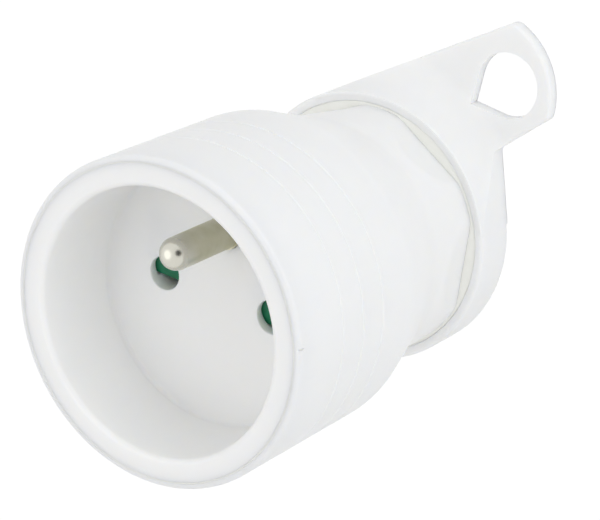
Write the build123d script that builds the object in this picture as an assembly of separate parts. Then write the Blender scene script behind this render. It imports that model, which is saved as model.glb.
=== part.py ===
from build123d import *
import os
from math import acos, cos, degrees, hypot, radians, sin

# Inline earthed socket connector with a ring ear, standing on its cord end. Sizes in millimetres.
# It is drawn lying, with X to the right, Y backwards from the mouth and Z up through the earth pin,
# and stood up at the end: the origin is on the axis in the rear face, +Z to the mouth and +X to the pin.

# Plug recess and its pins
mouth_r = 19.75
recess_depth = 15.2
floor_thick = 5.0
hole_pitch = 19.0
hole_r = 2.55
hole_lead = 0.15
pin_r = 2.4
pin_height = 10.0
pin_reach = 14.4
pin_flange_r = 3.8
pin_flange_thick = 1.5
stud_r = 2.0
pin_root_r = 2.6
pin_root_step = 0.6
pin_fit = 0.05

# Insert round the recess
cup_wall = 2.15
skirt_wall = 1.9
skirt_back = 29.0
rim_thick = 2.6
rim_round = 0.15

# Outer shell
shell_fit = 0.48
shell_wall = 1.85
lip_wide = 1.03
shell_draft = 0.005
barrel_back = 29.3
neck_clear = 1.7
neck_wall = 3.0
neck_front = 43.4
shoulder_round = 8.0
seam = 0.03
lip_round = 0.8
groove_first = 11.0
groove_pitch = 5.2
groove_count = 3
groove_deep = 0.25
groove_half = 0.45
scallop_r = 28.0
scallop_deep = 1.3
scallop_round = 4.0
nick_turn = 12.0
nick_wide = 0.25
nick_long = 1.0
nick_deep = 0.35

# Ring cap on the neck
collar_wall = 1.5
collar_long = 7.7
collar_gap = 0.3
cap_wall = 3.0
ear_thick = 2.0
ear_turn = 40.0
ear_tip = 38.5
ear_round = 0.5
ear_corner_along = 36.6
ear_corner_across = 17.9
ear_low_along = 34.8
ear_low_across = 2.7
ear_root_along = 24.4
ear_root_across = 1.9
ear_blend = 6.0
ear_hole_r = 5.1
ear_hole_along = 31.1
ear_hole_across = 9.9
inlet_r = 4.75
inlet_wall = 2.9
inlet_boss = 1.5

# Shutter behind the recess floor
travel = 5.0
slide_gap = 0.4
shutter_depth = 5.2
web = 0.8
nose_gap = 0.3
nose_half = 3.2
nose_top = 3.4
nose_flat = 1.4
nose_low_left = -1.2
nose_low_right = -2.2
nose_ramp = 0.9
frame_half = 3.9
frame_thick = 2.0
rail = 0.8
bridge_high = 3.0
foot_high = 1.4
spring_seat = 4.6
seat_thick = 1.2
spring_r = 1.9
wire_r = 0.25
spring_turns = 6

# Carrier for the live contacts
plate_thick = 2.6
carrier_gap = 0.4
post_x = 7.2
post_z = -9.6
post_r = 2.9
bore_wall = 1.2
socket_length = 6.0

# Contacts, terminals and screws
sleeve_r = 3.4
sleeve_bore_r = 2.3
sleeve_length = 8.6
sleeve_gap = 0.3
sleeve_slot = 0.8
clip_thick = 0.5
clip_length = 3.0
clip_gap = 0.6
terminal_screw_in = 6.0
terminal_side = 7.0
terminal_length = 10.0
wire_hole_r = 1.7
screw_r = 1.2
screw_gap = 0.1
head_r = 2.2
head_thick = 1.6
slot_wide = 0.7
slot_deep = 0.8
screw_seat_gap = 0.2
boss_turn = 68.5
boss_r = 2.6
boss_inset = 0.1
assembly_length = 12.0
earth_gap = 1.0
earth_length = 12.0
earth_screw_inset = 3.0
stud_length = 7.0
clamp_half = 11.0
clamp_long = 4.8
clamp_roof = 2.0
clamp_low = 0.8
clamp_inset = 4.4
clamp_clear = 3.4
clamp_screw_x = 8.2
saddle_front = 3.2
saddle_high = -0.4
saddle_gap = 0.5
saddle_groove = 0.45
cord_r = 4.5

# Small lengths by which a cut runs past a face or a joined solid sinks into its neighbour
over = 1.0
sink = 0.5

# Radii and places along the axis that follow from the sizes
cup_r = mouth_r + cup_wall
skirt_r = cup_r - skirt_wall
bore_r = cup_r + shell_fit
shell_r = bore_r + shell_wall
rim_r = shell_r - lip_wide
boss_reach = skirt_r - boss_r - boss_inset
boss_x = boss_reach * cos(radians(boss_turn))
boss_z = boss_reach * sin(radians(boss_turn))
floor_back = recess_depth + floor_thick
shutter_front = floor_back + slide_gap
shutter_back = shutter_front + shutter_depth
plate_front = shutter_back + carrier_gap
plate_back = plate_front + plate_thick
sleeve_front = plate_back + sleeve_gap
sleeve_back = sleeve_front + sleeve_length
terminal_back = sleeve_back + terminal_length
clamp_y = terminal_back + clamp_clear + saddle_front
wall_front = clamp_y + clamp_inset
shell_back = wall_front - collar_gap
collar_back = wall_front + cap_wall
collar_front = collar_back - collar_long
neck_bore_r = hypot(post_x, post_z) + post_r + neck_clear
neck_r = neck_bore_r + neck_wall
collar_bore_r = neck_r + collar_gap
collar_r = collar_bore_r + collar_wall
hole_x = hole_pitch / 2
screw_hole_r = screw_r + screw_gap


def rod(x, z, front, back, r):
    """A round bar along the axis."""
    return extrude(Plane.XZ.offset(-back) * Pos(x, z) * Circle(r), back - front)


def post(x, y, low, high, r):
    """A round bar standing upright."""
    return Pos(x, y, (low + high) / 2) * Cylinder(r, high - low)


def block(left, right, front, back, low, high):
    """A box between six limits."""
    centre = ((left + right) / 2, (front + back) / 2, (low + high) / 2)
    return Pos(*centre) * Box(right - left, back - front, high - low)


def turned(points, rounds=()):
    """A turned solid from points given as radius and distance back, with some corners rounded."""
    profile = make_face(Polyline(*points, close=True)).face()
    for r, y, radius in rounds:
        corner = profile.vertices().sort_by_distance((r, y, 0))[0]
        profile = profile.fillet_2d(radius, [corner])
    return revolve(profile, Axis.Y)


def ear_point(along, across):
    """A point of the ear from its distances along and across its own direction."""
    turn = radians(ear_turn)
    return (along * cos(turn) - across * sin(turn), along * sin(turn) + across * cos(turn))


def slotted_screw_back(x, z, seat, tip):
    """A screw along the axis with a slotted head behind its seat."""
    screw = rod(x, z, tip, seat, screw_r) + rod(x, z, seat, seat + head_thick, head_r)
    cut = block(x - head_r, x + head_r, seat + head_thick - slot_deep, seat + head_thick + 1,
                z - slot_wide / 2, z + slot_wide / 2)
    return screw - cut


def slotted_screw_up(x, y, seat, tip):
    """An upright screw with a slotted head on its seat."""
    screw = post(x, y, tip, seat, screw_r) + post(x, y, seat, seat + head_thick, head_r)
    cut = block(x - head_r, x + head_r, y - slot_wide / 2, y + slot_wide / 2,
                seat + head_thick - slot_deep, seat + head_thick + 1)
    return screw - cut


pieces = {}

# Insert: the white cup that takes the plug, with bosses and the spring's seat behind its floor and
# a pocket behind each contact hole in which a nose of the shutter slides upwards
insert = turned(
    [(0, recess_depth), (mouth_r, recess_depth), (mouth_r, 0), (rim_r, 0), (rim_r, rim_thick),
     (cup_r, rim_thick), (cup_r, skirt_back), (skirt_r, skirt_back), (skirt_r, floor_back), (0, floor_back)],
    [(mouth_r, 0, 0.8), (rim_r, 0, rim_round), (mouth_r, recess_depth, 0.6)])
web_back = recess_depth + web
pocket_top = nose_top + travel + slide_gap
pocket_half = nose_half + nose_gap
for side, nose_low in ((-1, nose_low_left), (1, nose_low_right)):
    pocket_low = nose_low - nose_gap
    pocket = make_face(Polyline(
        (web_back, pocket_top), (web_back, nose_flat), (web_back + nose_ramp, pocket_low),
        (floor_back + over, pocket_low), (floor_back + over, pocket_top), close=True))
    insert += rod(side * boss_x, boss_z, floor_back - sink, plate_front - 0.1, boss_r)
    insert -= rod(side * boss_x, boss_z, floor_back + 1.5, plate_front, screw_hole_r)
    insert -= rod(side * hole_x, 0, recess_depth - over, floor_back + over, hole_r)
    insert -= extrude(Plane.YZ.offset(side * hole_x - pocket_half) * pocket, 2 * pocket_half)
seat_half = spring_r + 1.4
insert += block(-seat_half, seat_half, floor_back - sink, plate_front - 0.2,
                spring_seat, spring_seat + seat_thick)
insert -= rod(0, pin_height, recess_depth - over, floor_back + over, pin_root_r + pin_fit)
hole_edges = insert.edges().filter_by(GeomType.CIRCLE).filter_by(
    lambda e: abs(e.radius - hole_r) < 0.01 and abs(e.center().Y - recess_depth) < 0.01)
pieces["socket_insert"] = fillet(hole_edges, hole_lead)

# Outer shell: barrel, cone-shaped shoulder and scalloped neck
barrel_back_r = shell_r - shell_draft * barrel_back
lip_in = rim_r + seam
shell = turned(
    [(lip_in, 0), (shell_r, 0), (barrel_back_r, barrel_back), (neck_r, neck_front), (neck_r, shell_back),
     (neck_bore_r, shell_back), (neck_bore_r, neck_front), (bore_r, barrel_back), (bore_r, rim_thick + 0.1),
     (lip_in, rim_thick + 0.1)],
    [(shell_r, 0, lip_round), (lip_in, 0, rim_round), (barrel_back_r, barrel_back, shoulder_round),
     (neck_r, neck_front, shoulder_round), (neck_bore_r, neck_front, 2.0)])
for n in range(groove_count):
    y = groove_first + n * groove_pitch
    r = shell_r - shell_draft * y
    shell -= turned([(r + 0.3, y - groove_half), (r + 0.3, y + groove_half), (r - groove_deep, y)])
scallop = Rot(0, 90, 0) * Cylinder(scallop_r, 3 * neck_r)
scallop = Pos(0, collar_front + 1, neck_r - scallop_deep + scallop_r) * scallop
for n in range(6):
    shell -= Rot(0, 30 + 60 * n, 0) * scallop
scallop_edges = shell.edges().filter_by(
    lambda e: e.center().Y > neck_front and e.center().Y < shell_back - sink
    and abs(hypot((e @ 0.5).X, (e @ 0.5).Z) - neck_r) < 0.05 and e.geom_type != GeomType.CIRCLE)
shell = fillet(scallop_edges, scallop_round)
nick = block(-nick_wide / 2, nick_wide / 2, -over, nick_long, shell_r - nick_deep, shell_r + over)
pieces["outer_shell"] = shell - Rot(0, 90 - nick_turn, 0) * nick

# Ring cap: collar, rear wall with the cord inlet, clamp saddle and the ear with its drop-shaped hole
inlet_out_r = inlet_r + inlet_wall
boss_front = wall_front - inlet_boss
cap = turned(
    [(0, boss_front), (inlet_out_r, boss_front), (inlet_out_r, wall_front), (collar_bore_r, wall_front),
     (collar_bore_r, collar_front), (collar_r, collar_front), (collar_r, collar_back), (0, collar_back)],
    [(collar_r, collar_front, 0.6), (collar_bore_r, collar_front, 0.3), (collar_r, collar_back, 0.5)])
corner_reach = hypot(ear_corner_along, ear_corner_across)
touch = degrees(acos(collar_r / corner_reach)) + degrees(acos(ear_corner_along / corner_reach))
start = (collar_r * cos(radians(touch)), collar_r * sin(radians(touch)))
root_reach = hypot(ear_root_along, ear_root_across)
leave = degrees(acos(collar_r / root_reach)) - degrees(acos(ear_root_along / root_reach))
foot = (collar_r * cos(radians(leave)), -collar_r * sin(radians(leave)))
root = (ear_root_along, ear_root_across)
ear_line = (
    Polyline(ear_point(0, 0), ear_point(*start), ear_point(ear_corner_along, ear_corner_across))
    + ThreePointArc(ear_point(ear_corner_along, ear_corner_across),
                    ear_point(ear_tip, (ear_corner_across + ear_low_across) / 2 + 0.9),
                    ear_point(ear_low_along, ear_low_across))
    + Polyline(ear_point(ear_low_along, ear_low_across), ear_point(*root), ear_point(*foot), ear_point(0, 0)))
ear_face = make_face(ear_line).face()
ear_corners = (
    (ear_corner_along, ear_corner_across, 1.6), (ear_low_along, ear_low_across, 1.4), (*root, 0.8))
for along, across, radius in ear_corners:
    far_corner = ear_face.vertices().sort_by_distance((*ear_point(along, across), 0))[0]
    ear_face = ear_face.fillet_2d(radius, [far_corner])
ear_front = collar_back - ear_thick
ear = extrude(Plane.XZ.offset(-collar_back) * ear_face, ear_thick)
ear = fillet(ear.faces().sort_by(Axis.Y)[0].outer_wire().edges().filter_by(
    lambda e: hypot(e.center().X, e.center().Z) > collar_r + ear_round), ear_round)
blend_front = ear_front - ear_blend
blend_r = collar_r + ear_blend
flare_line = Polyline(
    (blend_r, ear_front), (blend_r, ear_front + 0.5), (collar_r - 0.5, ear_front + 0.5),
    (collar_r - 0.5, blend_front), (collar_r, blend_front))
flare_line += RadiusArc((collar_r, blend_front), (blend_r, ear_front), ear_blend)
flare = revolve(make_face(flare_line).face(), Axis.Y)
flare &= extrude(Plane.XZ.offset(-collar_back) * ear_face, ear_thick + ear_blend)
drop = Circle(ear_hole_r) + make_face(Polyline(
    (-ear_hole_r * 2 ** 0.5, 0), (-ear_hole_r / 2 ** 0.5, ear_hole_r / 2 ** 0.5), (0, 0),
    (-ear_hole_r / 2 ** 0.5, -ear_hole_r / 2 ** 0.5), close=True))
hole_x_ear, hole_z_ear = ear_point(ear_hole_along, ear_hole_across)
drop = Plane.XZ.offset(-collar_back - 1) * Pos(hole_x_ear, hole_z_ear) * Rot(0, 0, ear_turn) * drop
drop_bar = extrude(drop, ear_thick + ear_blend + 2)
ear = ear + flare - drop_bar - rod(0, 0, collar_front - 1, wall_front + 0.2, collar_r - 0.4)
cap = cap + ear
saddle_low = post_z + post_r + saddle_gap
cap += block(-clamp_half, clamp_half, clamp_y - saddle_front, wall_front + sink, saddle_low, saddle_high)
cap -= rod(0, 0, clamp_y - saddle_front - over, boss_front, inlet_r + saddle_groove)
cap -= rod(0, 0, boss_front - over, collar_back + over, inlet_r)
screw_seat = collar_back - head_thick - screw_seat_gap
for side in (-1, 1):
    cap -= rod(side * post_x, post_z, wall_front - over, collar_back + over, screw_hole_r + 0.2)
    cap -= rod(side * post_x, post_z, screw_seat, collar_back + over, head_r + 0.3)
    cap -= post(side * clamp_screw_x, clamp_y, saddle_low - over, saddle_high + over, screw_hole_r)
pieces["ring_cap"] = cap

# Earth pin: round-nosed, with a shoulder in the floor, a flange behind it and a stud for its terminal
pin_tip = recess_depth - pin_reach
stud_back = plate_back + stud_length
flange_front = floor_back + 0.1
pin = rod(0, pin_height, pin_tip + pin_r, flange_front, pin_r)
pin += Pos(0, pin_tip + pin_r, pin_height) * Sphere(pin_r)
pin += rod(0, pin_height, recess_depth - pin_root_step, flange_front, pin_root_r)
pin += rod(0, pin_height, flange_front, flange_front + pin_flange_thick, pin_flange_r)
pin += rod(0, pin_height, flange_front, stud_back, stud_r)
pieces["earth_pin"] = pin

# Shutter: a green slide with a sloping nose in each hole's pocket and a window below each nose
frame_back = shutter_front + frame_thick
nose_front = web_back + nose_gap
window_low = -pin_r - nose_gap - travel
frame_low = window_low - rail
bridge_top = frame_low + bridge_high
arm_in = hole_x - frame_half
arm_out = hole_x + frame_half
shutter = block(-arm_in - sink, arm_in + sink, shutter_front, frame_back, frame_low, bridge_top)
shutter += block(-seat_half, seat_half, shutter_front, shutter_back, bridge_top - foot_high, bridge_top)
for side, nose_low in ((-1, nose_low_left), (1, nose_low_right)):
    nose = make_face(Polyline(
        (nose_front, nose_top), (nose_front, nose_flat), (nose_front + nose_ramp, nose_low),
        (frame_back, nose_low), (frame_back, nose_top), close=True))
    inner, outer = sorted((side * arm_in, side * arm_out))
    frame = block(inner, outer, shutter_front, frame_back, frame_low, nose_top)
    frame -= block(inner + rail, outer - rail, shutter_front - over, frame_back + over, window_low, nose_low)
    shutter += frame + extrude(Plane.YZ.offset(side * hole_x - nose_half) * nose, 2 * nose_half)
pieces["shutter"] = shutter

# Shutter spring: a coil standing between the slide's foot and the insert's seat above it
spring_low = bridge_top + wire_r + 0.05
spring_high = spring_seat - wire_r - 0.05
spring_y = (frame_back + shutter_back) / 2 - 0.6
coil = Helix((spring_high - spring_low) / spring_turns, spring_high - spring_low, spring_r)
wire = Plane(origin=coil @ 0, z_dir=coil % 0) * Circle(wire_r)
pieces["shutter_spring"] = Pos(0, spring_y, spring_low) * sweep(wire, coil)

# Contact carrier: the plate that closes the shutter's room, with contact sockets and two posts
carrier = rod(0, 0, plate_front, plate_back, skirt_r - 0.3)
carrier -= rod(0, pin_height, plate_front - over, plate_back + over, stud_r + 0.3)
socket_r = sleeve_r + clip_thick + 0.3
for side in (-1, 1):
    carrier += rod(side * hole_x, 0, plate_back - sink, plate_back + socket_length, socket_r + bore_wall)
    carrier -= rod(side * hole_x, 0, plate_back + 0.1, plate_back + socket_length + over, socket_r)
    carrier -= rod(side * hole_x, 0, plate_front - over, plate_back + over, pin_r + 0.3)
    carrier -= rod(side * boss_x, boss_z, plate_front - over, plate_back + over, screw_hole_r)
    carrier += rod(side * post_x, post_z, plate_back - sink, wall_front - collar_gap, post_r)
    carrier -= rod(side * post_x, post_z, wall_front - assembly_length - sink, wall_front, screw_hole_r)
pieces["contact_carrier"] = carrier

# Live contacts: a slotted brass sleeve in one with its wire clamp, with a spring clip and a screw
half = terminal_side / 2
clip_front = sleeve_front + 1.6
for side, name in ((-1, "left"), (1, "right")):
    x = side * hole_x
    contact = rod(x, 0, sleeve_front, sleeve_back + 0.5, sleeve_r)
    contact += block(x - half, x + half, sleeve_back, terminal_back, -half, half)
    contact -= rod(x, 0, sleeve_front - 1, sleeve_back - 0.5, sleeve_bore_r)
    contact -= block(x - sleeve_slot / 2, x + sleeve_slot / 2, sleeve_front - 1, sleeve_back - 1.5,
                     -half - 1, half + 1)
    contact -= rod(x, 0, sleeve_back + 2.0, terminal_back + 1, wire_hole_r)
    contact -= post(x, sleeve_back + terminal_screw_in, 0, half + over, screw_hole_r)
    pieces["contact_" + name] = contact
    clip = rod(x, 0, clip_front, clip_front + clip_length, sleeve_r + 0.05 + clip_thick)
    clip -= rod(x, 0, clip_front - 1, clip_front + clip_length + 1, sleeve_r + 0.05)
    clip -= block(x - half - over, x, clip_front - over, clip_front + clip_length + over, -clip_gap, clip_gap)
    pieces["contact_clip_" + name] = clip
    pieces["contact_screw_" + name] = slotted_screw_up(
        x, sleeve_back + terminal_screw_in, half + screw_seat_gap, 0.4)
    pieces["carrier_screw_" + name] = slotted_screw_back(
        side * boss_x, boss_z, plate_back, floor_back + 2.0)
    pieces["assembly_screw_" + name] = slotted_screw_back(
        side * post_x, post_z, screw_seat, wall_front - assembly_length)

# Earth terminal on the pin's stud, with its screw
earth_front = plate_back + earth_gap
earth_back = earth_front + earth_length
earth_screw_y = earth_back - earth_screw_inset
earth_top = pin_height + half
earth = block(-half, half, earth_front, earth_back, pin_height - half, earth_top)
earth -= rod(0, pin_height, earth_front - over, stud_back + 0.1, stud_r + pin_fit)
earth -= rod(0, pin_height, stud_back + 0.6, earth_back + over, wire_hole_r)
earth -= post(0, earth_screw_y, pin_height, earth_top + over, screw_hole_r)
pieces["earth_terminal"] = earth
pieces["earth_screw"] = slotted_screw_up(0, earth_screw_y, earth_top + screw_seat_gap, pin_height + 0.4)

# Cord clamp over the saddle, with its two screws
clamp_top = cord_r + clamp_roof
clamp = block(-clamp_half, clamp_half, clamp_y - clamp_long / 2, clamp_y + clamp_long / 2,
              clamp_low, clamp_top)
clamp -= rod(0, 0, clamp_y - clamp_long, clamp_y + clamp_long, cord_r)
for side, name in ((-1, "left"), (1, "right")):
    clamp -= post(side * clamp_screw_x, clamp_y, 0, clamp_top + over, screw_hole_r)
    pieces["clamp_screw_" + name] = slotted_screw_up(
        side * clamp_screw_x, clamp_y, clamp_top, saddle_low + 0.6)
pieces["cord_clamp"] = clamp

os.makedirs("parts", exist_ok=True)
for name, piece in pieces.items():
    stood = Pos(0, 0, collar_back) * Rot(0, 0, -90) * Rot(-90, 0, 0) * piece
    export_step(stood, "parts/" + name + ".step")
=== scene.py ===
import math

import bpy
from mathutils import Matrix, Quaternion, Vector


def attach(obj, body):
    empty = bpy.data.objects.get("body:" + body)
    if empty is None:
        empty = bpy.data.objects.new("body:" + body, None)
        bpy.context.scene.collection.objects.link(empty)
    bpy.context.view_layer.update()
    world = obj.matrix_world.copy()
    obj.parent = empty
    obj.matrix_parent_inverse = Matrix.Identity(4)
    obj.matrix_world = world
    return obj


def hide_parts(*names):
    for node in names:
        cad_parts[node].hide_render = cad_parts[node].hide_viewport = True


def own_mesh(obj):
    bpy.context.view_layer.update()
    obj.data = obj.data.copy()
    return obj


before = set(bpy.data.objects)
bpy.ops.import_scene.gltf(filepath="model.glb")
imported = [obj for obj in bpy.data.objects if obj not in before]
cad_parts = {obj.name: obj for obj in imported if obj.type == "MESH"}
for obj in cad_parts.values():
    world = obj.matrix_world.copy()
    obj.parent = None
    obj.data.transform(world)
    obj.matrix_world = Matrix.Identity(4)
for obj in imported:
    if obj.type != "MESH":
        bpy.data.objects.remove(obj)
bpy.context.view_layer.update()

# All sizes and places are in metres.
bpy.ops.object.select_all(action="DESELECT")


# Socket insert: the white cup that takes the plug, with the contact holes in its floor.
# Injection-moulded polyamide, pushed into the shell from the front and welded to it round the rim.
# Polyamide is a dense white with a soft sheen, and its spark-eroded mould leaves a very fine grain.
def linear(hex_colour):
    """An sRGB hex colour as the linear values that a shader takes."""
    values = []
    for start in (0, 2, 4):
        level = int(hex_colour[start:start + 2], 16) / 255
        values.append(level / 12.92 if level <= 0.04045 else ((level + 0.055) / 1.055) ** 2.4)
    return (*values, 1.0)


def add(material, kind, settings, **links):
    """Adds a shader node with its socket values, and feeds the named sockets from other nodes' sockets."""
    node = material.node_tree.nodes.new(kind)
    for name, value in settings.items():
        if name in node.inputs:
            node.inputs[name].default_value = value
        else:
            setattr(node, name, value)
    for name, source in links.items():
        material.node_tree.links.new(source, node.inputs[name.replace("_", " ")])
    return node


def coat(material, *node_names):
    """Gives CAD nodes this material in place of the plain one that they come with."""
    for name in node_names:
        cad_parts[name].data.materials.clear()
        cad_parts[name].data.materials.append(material)


white = bpy.data.materials.new("moulded_white_polyamide")
white.use_nodes = True
white_shader = white.node_tree.nodes["Principled BSDF"]
white_place = add(white, "ShaderNodeTexCoord", {})
# Pigment drifts a little over about 9 mm where the melt flowed into the mould.
white_flow = add(white, "ShaderNodeTexNoise", {"Scale": 1 / 0.009, "Detail": 3.0, "Roughness": 0.55},
                 Vector=white_place.outputs["Object"])
white_tint = add(white, "ShaderNodeValToRGB", {}, Fac=white_flow.outputs["Fac"])
white_tint.color_ramp.elements[0].position = 0.3
white_tint.color_ramp.elements[0].color = linear("F7F7F6")
white_tint.color_ramp.elements[1].position = 0.7
white_tint.color_ramp.elements[1].color = linear("FAFAF9")
white.node_tree.links.new(white_tint.outputs["Color"], white_shader.inputs["Base Color"])
# The sheen is uneven over about 4 mm, as handling polishes the grain down.
white_wear = add(white, "ShaderNodeTexNoise", {"Scale": 1 / 0.004, "Detail": 2.0},
                 Vector=white_place.outputs["Object"])
white_sheen = add(white, "ShaderNodeMapRange", {"To Min": 0.36, "To Max": 0.46},
                  Value=white_wear.outputs["Fac"])
white.node_tree.links.new(white_sheen.outputs["Result"], white_shader.inputs["Roughness"])
# The real grain is about 0.05 mm, drawn at 0.35 mm so that it shows.
white_grain = add(white, "ShaderNodeTexNoise", {"Scale": 1 / 0.00035, "Detail": 2.0},
                  Vector=white_place.outputs["Object"])
white_bump = add(white, "ShaderNodeBump", {"Strength": 0.05, "Distance": 0.00003},
                 Height=white_grain.outputs["Fac"])
white.node_tree.links.new(white_bump.outputs["Normal"], white_shader.inputs["Normal"])
white_shader.inputs["IOR"].default_value = 1.53
# Light goes about 1.5 mm into the plastic, so thin edges and narrow gaps glow a little and are never black.
white_shader.inputs["Subsurface Weight"].default_value = 0.6
white_shader.inputs["Subsurface Radius"].default_value = (1.0, 0.92, 0.78)
white_shader.inputs["Subsurface Scale"].default_value = 0.0016
coat(white, "socket_insert")


# Earth pin: the round-nosed pin that enters the plug's earth sleeve.
# Turned brass with nickel plate, held in the floor by a flange and its terminal.
# The nose is polished bright, and the shank keeps a satin, faintly yellow plate over the lathe's rings.
nickel = bpy.data.materials.new("nickel_plated_turned_brass")
nickel.use_nodes = True
nickel_shader = nickel.node_tree.nodes["Principled BSDF"]
nickel_shader.inputs["Metallic"].default_value = 1.0
nickel_place = add(nickel, "ShaderNodeTexCoord", {})
nickel_along = add(nickel, "ShaderNodeSeparateXYZ", {}, Vector=nickel_place.outputs["Object"])
# The polish starts about 5 mm below the tip, which lies 61 mm above the floor, and is full on the round.
polish_start = 0.0560
polish_full = 0.0592
nickel_polish = add(nickel, "ShaderNodeMapRange", {"From Min": polish_start, "From Max": polish_full},
                    Value=nickel_along.outputs["Z"])
# The plate's colour clouds over about 4 mm.
nickel_cloud = add(nickel, "ShaderNodeTexNoise", {"Scale": 1 / 0.004, "Detail": 3.0},
                   Vector=nickel_place.outputs["Object"])
nickel_tint = add(nickel, "ShaderNodeValToRGB", {}, Fac=nickel_cloud.outputs["Fac"])
nickel_tint.color_ramp.elements[0].position = 0.35
nickel_tint.color_ramp.elements[0].color = linear("BCB99F")
nickel_tint.color_ramp.elements[1].position = 0.7
nickel_tint.color_ramp.elements[1].color = linear("CDCBB8")
# The mix node's colour sockets share their names with its number sockets, so they go by their index.
nickel_colour = add(nickel, "ShaderNodeMix", {"data_type": "RGBA"}, Factor=nickel_polish.outputs["Result"])
nickel.node_tree.links.new(nickel_tint.outputs["Color"], nickel_colour.inputs[6])
nickel_colour.inputs[7].default_value = linear("D4D2C7")
nickel.node_tree.links.new(nickel_colour.outputs[2], nickel_shader.inputs["Base Color"])
nickel_dull = add(nickel, "ShaderNodeMapRange", {"To Min": 0.38, "To Max": 0.26},
                  Value=nickel_polish.outputs["Result"])
nickel.node_tree.links.new(nickel_dull.outputs["Result"], nickel_shader.inputs["Roughness"])
# The lathe's rings are about 0.1 mm apart, drawn 1.9 mm apart so that they show.
# At scale 1 a wave texture runs through 20 radians in a metre.
ring_spacing = 0.0003 * math.tau
nickel_rings = add(nickel, "ShaderNodeTexWave",
                   {"bands_direction": "Z", "Scale": math.tau / 20 / ring_spacing,
                    "Distortion": 0.6, "Detail": 1.0},
                   Vector=nickel_place.outputs["Object"])
nickel_bump = add(nickel, "ShaderNodeBump", {"Strength": 0.06, "Distance": 0.00001},
                  Height=nickel_rings.outputs["Fac"])
nickel.node_tree.links.new(nickel_bump.outputs["Normal"], nickel_shader.inputs["Normal"])
coat(nickel, "earth_pin")


# Shutter: the slide behind the floor that closes both contact holes until a plug's pins push it aside.
# Moulded in green polyester so that a closed hole is plain to see, running loose behind the floor.
# The polyester is a deep bluish green, matt, with a little mottling.
green = bpy.data.materials.new("moulded_green_polyester")
green.use_nodes = True
green_shader = green.node_tree.nodes["Principled BSDF"]
green_place = add(green, "ShaderNodeTexCoord", {})
# The mottling is about 2 mm wide, in colour and in sheen.
green_flow = add(green, "ShaderNodeTexNoise", {"Scale": 1 / 0.002, "Detail": 3.0},
                 Vector=green_place.outputs["Object"])
green_tint = add(green, "ShaderNodeValToRGB", {}, Fac=green_flow.outputs["Fac"])
green_tint.color_ramp.elements[0].position = 0.3
green_tint.color_ramp.elements[0].color = linear("0B6A48")
green_tint.color_ramp.elements[1].position = 0.75
green_tint.color_ramp.elements[1].color = linear("12805A")
green.node_tree.links.new(green_tint.outputs["Color"], green_shader.inputs["Base Color"])
green_sheen = add(green, "ShaderNodeMapRange", {"To Min": 0.42, "To Max": 0.58},
                  Value=green_flow.outputs["Fac"])
green.node_tree.links.new(green_sheen.outputs["Result"], green_shader.inputs["Roughness"])
# The mould's grain is about 0.05 mm here too, drawn at 0.3 mm so that it shows.
green_grain = add(green, "ShaderNodeTexNoise", {"Scale": 1 / 0.0003, "Detail": 2.0},
                  Vector=green_place.outputs["Object"])
green_bump = add(green, "ShaderNodeBump", {"Strength": 0.08, "Distance": 0.00003},
                 Height=green_grain.outputs["Fac"])
green.node_tree.links.new(green_bump.outputs["Normal"], green_shader.inputs["Normal"])
green_shader.inputs["IOR"].default_value = 1.57
coat(green, "shutter")


# Contact carrier and cord clamp: the plate that closes the shutter's room and the bar that grips the cord.
# Moulded in grey glass-filled polyester, screwed to the insert and to the cap's saddle.
# The glass fibre leaves a dry, faintly cloudy surface.
grey = bpy.data.materials.new("glass_filled_grey_polyester")
grey.use_nodes = True
grey_shader = grey.node_tree.nodes["Principled BSDF"]
grey_place = add(grey, "ShaderNodeTexCoord", {})
# The fibres lie in clouds about 1.2 mm wide.
grey_fibre = add(grey, "ShaderNodeTexNoise", {"Scale": 1 / 0.0012, "Detail": 4.0, "Roughness": 0.7},
                 Vector=grey_place.outputs["Object"])
grey_tint = add(grey, "ShaderNodeValToRGB", {}, Fac=grey_fibre.outputs["Fac"])
grey_tint.color_ramp.elements[0].position = 0.3
grey_tint.color_ramp.elements[0].color = linear("C2C4C3")
grey_tint.color_ramp.elements[1].position = 0.7
grey_tint.color_ramp.elements[1].color = linear("D2D3D1")
grey.node_tree.links.new(grey_tint.outputs["Color"], grey_shader.inputs["Base Color"])
grey_dry = add(grey, "ShaderNodeMapRange", {"To Min": 0.55, "To Max": 0.72},
               Value=grey_fibre.outputs["Fac"])
grey.node_tree.links.new(grey_dry.outputs["Result"], grey_shader.inputs["Roughness"])
grey_bump = add(grey, "ShaderNodeBump", {"Strength": 0.1, "Distance": 0.00004},
                Height=grey_fibre.outputs["Fac"])
grey.node_tree.links.new(grey_bump.outputs["Normal"], grey_shader.inputs["Normal"])
coat(grey, "contact_carrier", "cord_clamp")


# Live contacts and earth terminal: slotted sleeves in one with their wire clamps, and a block on the stud.
# Turned and milled brass, left bare. The sleeves stand loose in the carrier's sockets.
# Bare brass is a warm yellow with brown tarnish starting in patches.
brass = bpy.data.materials.new("bare_brass")
brass.use_nodes = True
brass_shader = brass.node_tree.nodes["Principled BSDF"]
brass_shader.inputs["Metallic"].default_value = 1.0
brass_place = add(brass, "ShaderNodeTexCoord", {})
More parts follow.
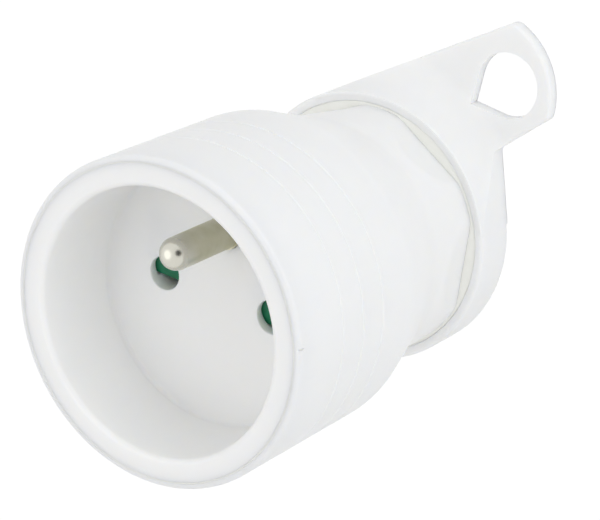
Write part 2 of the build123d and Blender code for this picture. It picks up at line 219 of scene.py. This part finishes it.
# The patches are about 2.5 mm wide, and duller than the bright metal.
brass_tarnish = add(brass, "ShaderNodeTexNoise", {"Scale": 1 / 0.0025, "Detail": 4.0, "Roughness": 0.6},
                    Vector=brass_place.outputs["Object"])
brass_tint = add(brass, "ShaderNodeValToRGB", {}, Fac=brass_tarnish.outputs["Fac"])
brass_tint.color_ramp.elements[0].position = 0.35
brass_tint.color_ramp.elements[0].color = linear("B98E4A")
brass_tint.color_ramp.elements[1].position = 0.65
brass_tint.color_ramp.elements[1].color = linear("DDB86E")
brass.node_tree.links.new(brass_tint.outputs["Color"], brass_shader.inputs["Base Color"])
brass_dull = add(brass, "ShaderNodeMapRange", {"To Min": 0.42, "To Max": 0.26},
                 Value=brass_tarnish.outputs["Fac"])
brass.node_tree.links.new(brass_dull.outputs["Result"], brass_shader.inputs["Roughness"])
coat(brass, "contact_left", "contact_right", "earth_terminal")


# Screws and contact clips: the small steel pieces.
# Cold-headed screws and clips rolled from strip, all zinc plated.
# Zinc is a bluish grey with a fine cloudy spangle.
zinc = bpy.data.materials.new("zinc_plated_steel")
zinc.use_nodes = True
zinc_shader = zinc.node_tree.nodes["Principled BSDF"]
zinc_shader.inputs["Metallic"].default_value = 1.0
zinc_place = add(zinc, "ShaderNodeTexCoord", {})
# A spangle is about 0.6 mm wide.
zinc_spangle = add(zinc, "ShaderNodeTexVoronoi", {"Scale": 1 / 0.0006, "feature": "SMOOTH_F1"},
                   Vector=zinc_place.outputs["Object"])
zinc_tint = add(zinc, "ShaderNodeValToRGB", {}, Fac=zinc_spangle.outputs["Distance"])
zinc_tint.color_ramp.elements[0].position = 0.1
zinc_tint.color_ramp.elements[0].color = linear("B5B8BB")
zinc_tint.color_ramp.elements[1].position = 0.8
zinc_tint.color_ramp.elements[1].color = linear("CBCDCF")
zinc.node_tree.links.new(zinc_tint.outputs["Color"], zinc_shader.inputs["Base Color"])
zinc_dull = add(zinc, "ShaderNodeMapRange", {"To Min": 0.3, "To Max": 0.42},
                Value=zinc_spangle.outputs["Distance"])
zinc.node_tree.links.new(zinc_dull.outputs["Result"], zinc_shader.inputs["Roughness"])
coat(zinc, "contact_clip_left", "contact_clip_right", "contact_screw_left", "contact_screw_right",
     "carrier_screw_left", "carrier_screw_right", "earth_screw", "assembly_screw_left",
     "assembly_screw_right", "clamp_screw_left", "clamp_screw_right")


# Shutter spring: the coil that pushes the shutter closed.
# Zinc-plated music wire, 0.5 mm thick, standing between the slide's foot and a ledge on the insert.
# It stands for its CAD solid because it shortens to half its length when a plug's pins push the slide.
wire_r = 0.00025
coil_r = 0.0019
coil_turns = 6
coil_long = 0.009496
coil_start = (-0.005198, 0, 0.0381)
bpy.ops.mesh.primitive_circle_add(vertices=12, radius=wire_r, location=(0, 0, coil_r),
                                  rotation=(math.radians(90), 0, 0))
spring_coil = bpy.context.active_object
spring_coil.name = "shutter_spring_coil"
bpy.ops.object.transform_apply(location=True, rotation=True, scale=True)
winding = spring_coil.modifiers.new("winding", "SCREW")
winding.axis = "X"
winding.angle = math.radians(360)
winding.iterations = coil_turns
winding.screw_offset = coil_long / coil_turns
winding.steps = 32
winding.render_steps = 32
bpy.ops.object.modifier_apply(modifier=winding.name)
bpy.ops.object.mode_set(mode="EDIT")
bpy.ops.mesh.select_all(action="SELECT")
bpy.ops.mesh.fill_holes(sides=0)
bpy.ops.mesh.normals_make_consistent(inside=False)
bpy.ops.transform.translate(value=coil_start)
bpy.ops.object.mode_set(mode="OBJECT")
bpy.ops.object.shade_smooth_by_angle(angle=math.radians(50))
spring_coil.data.materials.append(zinc)
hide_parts("shutter_spring")
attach(spring_coil, "body")
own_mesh(spring_coil)


# Outer shell and ring cap: the grip sleeve round the insert, and the collar with the ear behind it.
# Both are moulded in the same white polyamide as the insert.
# The cap is drawn up on the shell's neck by the two long screws from behind.
coat(white, "outer_shell", "ring_cap")


# Collar seal: the soft lip that closes the gap between the neck's scallops and the collar.
# Ivory thermoplastic rubber, moulded as a flat ring, held in the collar's mouth and squeezed on to the neck.
# Rubber of this kind is a dull, slightly yellow white.
def select_only(piece, kind, wanted):
    """Selects the piece's faces or vertices that pass a test, and stays in edit mode."""
    bpy.ops.object.mode_set(mode="EDIT")
    bpy.ops.mesh.select_mode(type=kind)
    bpy.ops.mesh.select_all(action="DESELECT")
    bpy.ops.object.mode_set(mode="OBJECT")
    for element in piece.data.polygons if kind == "FACE" else piece.data.vertices:
        element.select = wanted(element)
    bpy.ops.object.mode_set(mode="EDIT")


seal_r = 0.01989
seal_wide = 0.0006
seal_thick = 0.0023
seal_height = 0.00633
neck_clear = 0.00001
edge_soft = 0.00004
# What lies within lip_r faces the neck, and the part of it above lip_low is the lip.
lip_r = 0.0195
lip_low = 0.007
lip_climb = 0.00018
bpy.ops.mesh.primitive_cylinder_add(vertices=240, radius=seal_r, depth=seal_thick,
                                    location=(0, 0, seal_height))
seal = bpy.context.active_object
seal.name = "collar_seal"
bpy.ops.object.transform_apply(location=True, rotation=True, scale=True)
# The two flat ends are opened, and the openings are joined by the inner wall.
select_only(seal, "FACE", lambda face: abs(face.normal.z) > 0.9)
bpy.ops.mesh.inset(thickness=seal_wide)
bpy.ops.mesh.bridge_edge_loops()
bpy.ops.mesh.select_all(action="SELECT")
bpy.ops.mesh.normals_make_consistent(inside=False)
bpy.ops.object.mode_set(mode="OBJECT")
neck_side = seal.vertex_groups.new(name="neck_side")
neck_side.add([v.index for v in seal.data.vertices if v.co.xy.length < lip_r], 1.0, "REPLACE")
# The lip climbs the neck a little where it is squeezed.
select_only(seal, "VERT", lambda vertex: vertex.co.xy.length < lip_r and vertex.co.z > lip_low)
bpy.ops.transform.translate(value=(0, 0, lip_climb))
bpy.ops.object.mode_set(mode="OBJECT")
squeeze = seal.modifiers.new("squeezed_on_neck", "SHRINKWRAP")
squeeze.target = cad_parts["outer_shell"]
squeeze.vertex_group = "neck_side"
squeeze.offset = neck_clear
bpy.ops.object.modifier_apply(modifier=squeeze.name)
seal.vertex_groups.clear()
soft_edge = seal.modifiers.new("soft_edge", "BEVEL")
soft_edge.width = edge_soft
soft_edge.segments = 2
bpy.ops.object.modifier_apply(modifier=soft_edge.name)
bpy.ops.object.shade_smooth_by_angle(angle=math.radians(40))
ivory = bpy.data.materials.new("ivory_thermoplastic_rubber")
ivory.use_nodes = True
ivory_shader = ivory.node_tree.nodes["Principled BSDF"]
ivory_place = add(ivory, "ShaderNodeTexCoord", {})
# Colour and dullness drift over about 3 mm.
ivory_flow = add(ivory, "ShaderNodeTexNoise", {"Scale": 1 / 0.003, "Detail": 3.0},
                 Vector=ivory_place.outputs["Object"])
ivory_tint = add(ivory, "ShaderNodeValToRGB", {}, Fac=ivory_flow.outputs["Fac"])
ivory_tint.color_ramp.elements[0].position = 0.3
ivory_tint.color_ramp.elements[0].color = linear("F5F5EF")
ivory_tint.color_ramp.elements[1].position = 0.7
ivory_tint.color_ramp.elements[1].color = linear("F8F8F3")
ivory.node_tree.links.new(ivory_tint.outputs["Color"], ivory_shader.inputs["Base Color"])
ivory_dull = add(ivory, "ShaderNodeMapRange", {"To Min": 0.62, "To Max": 0.74},
                 Value=ivory_flow.outputs["Fac"])
ivory.node_tree.links.new(ivory_dull.outputs["Result"], ivory_shader.inputs["Roughness"])
ivory_shader.inputs["IOR"].default_value = 1.5
seal.data.materials.append(ivory)
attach(seal, "body")


# Front weld: the bead of melted polyamide that joins the insert's rim to the shell's lip.
# The heat of welding yellows it a little, to the tone of the seal's ivory, so it has that material.
# It fills all but the top 0.02 mm, so the joint shows as a fine soft line and not as a dark crack.
joint_r = 0.023215
bead_r = 0.00008
bead_height = 0.06159
bead_pressed = 0.06164
bead_top = 0.06168
bpy.ops.mesh.primitive_torus_add(major_segments=240, minor_segments=10, major_radius=joint_r,
                                 minor_radius=bead_r, location=(0, 0, bead_height))
weld = bpy.context.active_object
weld.name = "front_weld"
bpy.ops.object.transform_apply(location=True, rotation=True, scale=True)
# The tool presses the bead's top flat.
select_only(weld, "VERT", lambda vertex: vertex.co.z > bead_pressed)
bpy.ops.transform.resize(value=(1, 1, 0), center_override=(0, 0, bead_top))
bpy.ops.object.mode_set(mode="OBJECT")
bpy.ops.object.shade_smooth_by_angle(angle=math.radians(50))
weld.data.materials.append(ivory)
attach(weld, "body")


# Floor: the sheet of white paper that the socket stands on.
# It is nearly plain white where it is seen or mirrored, and keeps the object's soft shadow.
def seen_directly(material):
    """A socket that is 1 where the camera, a mirror or glass looks, and 0 where only light falls."""
    path = add(material, "ShaderNodeLightPath", {})
    seen = add(material, "ShaderNodeMath", {"operation": "MAXIMUM"})
    material.node_tree.links.new(path.outputs["Is Camera Ray"], seen.inputs[0])
    material.node_tree.links.new(path.outputs["Is Glossy Ray"], seen.inputs[1])
    seen_through = add(material, "ShaderNodeMath", {"operation": "MAXIMUM"})
    material.node_tree.links.new(seen.outputs["Value"], seen_through.inputs[0])
    material.node_tree.links.new(path.outputs["Is Transmission Ray"], seen_through.inputs[1])
    return seen_through.outputs["Value"]


paper_across = 3.0
bpy.ops.mesh.primitive_plane_add(size=paper_across, location=(0, 0, 0))
floor = bpy.context.active_object
floor.name = "paper_floor"
paper = bpy.data.materials.new("matt_white_paper")
paper.use_nodes = True
paper_shader = paper.node_tree.nodes["Principled BSDF"]
paper_shader.inputs["Base Color"].default_value = linear("F4F4F4")
paper_shader.inputs["Roughness"].default_value = 0.9
paper_shader.inputs["Specular IOR Level"].default_value = 0.1
paper_glow = add(paper, "ShaderNodeEmission", {"Color": linear("FFFFFF"), "Strength": 1.08})
# The plain white takes 85 per cent, and the lit paper with the shadow the rest.
paper_share = add(paper, "ShaderNodeMath", {"operation": "MULTIPLY"})
paper.node_tree.links.new(seen_directly(paper), paper_share.inputs[0])
paper_share.inputs[1].default_value = 0.85
paper_mix = add(paper, "ShaderNodeMixShader", {})
paper.node_tree.links.new(paper_share.outputs["Value"], paper_mix.inputs[0])
paper.node_tree.links.new(paper_shader.outputs["BSDF"], paper_mix.inputs[1])
paper.node_tree.links.new(paper_glow.outputs["Emission"], paper_mix.inputs[2])
paper_output = paper.node_tree.nodes["Material Output"]
paper.node_tree.links.new(paper_mix.outputs["Shader"], paper_output.inputs["Surface"])
floor.data.materials.append(paper)


# Studio tent: white cloth all round the socket.
# It is plain white where it is seen or mirrored, and a softer grey as a light.
world = bpy.data.worlds.new("white_tent")
bpy.context.scene.world = world
world.use_nodes = True
tent = world.node_tree.nodes["Background"]
tent.inputs["Color"].default_value = linear("FFFFFF")
tent_level = add(world, "ShaderNodeMapRange", {"To Min": 0.71, "To Max": 1.0}, Value=seen_directly(world))
world.node_tree.links.new(tent_level.outputs["Result"], tent.inputs["Strength"])


# Three wide soft boxes: one over the mouth, which fills the recess, one on the ear's side for the barrel,
# and one on the pin's side. The last two are a little bluer, and only the first shows in the pin's polish.
box_across = 0.7
box_aim = Vector((0, 0, 0.03))
for name, energy, colour, place in (
        ("mouth_box", 0.72, "FFFFFF", (-0.02, 0.30, 0.68)),
        ("side_box", 1.44, "F7FBFF", (0.30, -0.62, 0.22)),
        ("top_box", 0.45, "F7FBFF", (0.68, 0.10, 0.30))):
    box = bpy.data.lights.new(name, "AREA")
    box.shape = "DISK"
    box.size = box_across
    box.energy = energy
    box.color = linear(colour)[:3]
    box_stand = bpy.data.objects.new(name, box)
    bpy.context.scene.collection.objects.link(box_stand)
    box_stand.location = place
    box_stand.rotation_mode = "QUATERNION"
    box_stand.rotation_quaternion = (box_aim - box_stand.location).to_track_quat("-Z", "Y")
    box_stand.visible_glossy = name == "mouth_box"


# Flag: a black velvet card beside the lens, which only mirrors see.
# It makes the dark spot in the pin's polished nose, and casts no shade.
flag_r = 0.19
flag_place = (0.241, -0.346, 0.355)
pin_nose = Vector((0.010, 0, 0.061))
bpy.ops.mesh.primitive_circle_add(vertices=48, radius=flag_r, fill_type="NGON", location=flag_place)
flag = bpy.context.active_object
flag.name = "black_flag"
flag.rotation_mode = "QUATERNION"
flag.rotation_quaternion = (pin_nose - flag.location).to_track_quat("Z", "Y")
velvet = bpy.data.materials.new("black_velvet")
velvet.use_nodes = True
velvet_shader = velvet.node_tree.nodes["Principled BSDF"]
velvet_shader.inputs["Base Color"].default_value = linear("141414")
velvet_shader.inputs["Roughness"].default_value = 0.95
flag.data.materials.append(velvet)
flag.visible_camera = False
flag.visible_diffuse = False
flag.visible_transmission = False
flag.visible_shadow = False


# Camera: a long lens above the mouth, to the right of the pin.
# It is turned about its line of sight so that the pin is up.
camera_place = (0.15938, -0.18825, 0.34426)
camera_aim = Vector((-0.00039, -0.00034, 0.02553))
camera_turn = math.radians(-115.354)
camera = bpy.data.cameras.new("camera")
camera.lens = 162.0
camera.sensor_width = 36.0
camera_stand = bpy.data.objects.new("camera", camera)
bpy.context.scene.collection.objects.link(camera_stand)
camera_stand.location = camera_place
line_of_sight = camera_aim - camera_stand.location
camera_stand.rotation_mode = "QUATERNION"
camera_stand.rotation_quaternion = (
    line_of_sight.to_track_quat("-Z", "Y") @ Quaternion((0, 0, 1), camera_turn))
bpy.context.scene.camera = camera_stand
bpy.context.scene.view_settings.view_transform = "Standard"
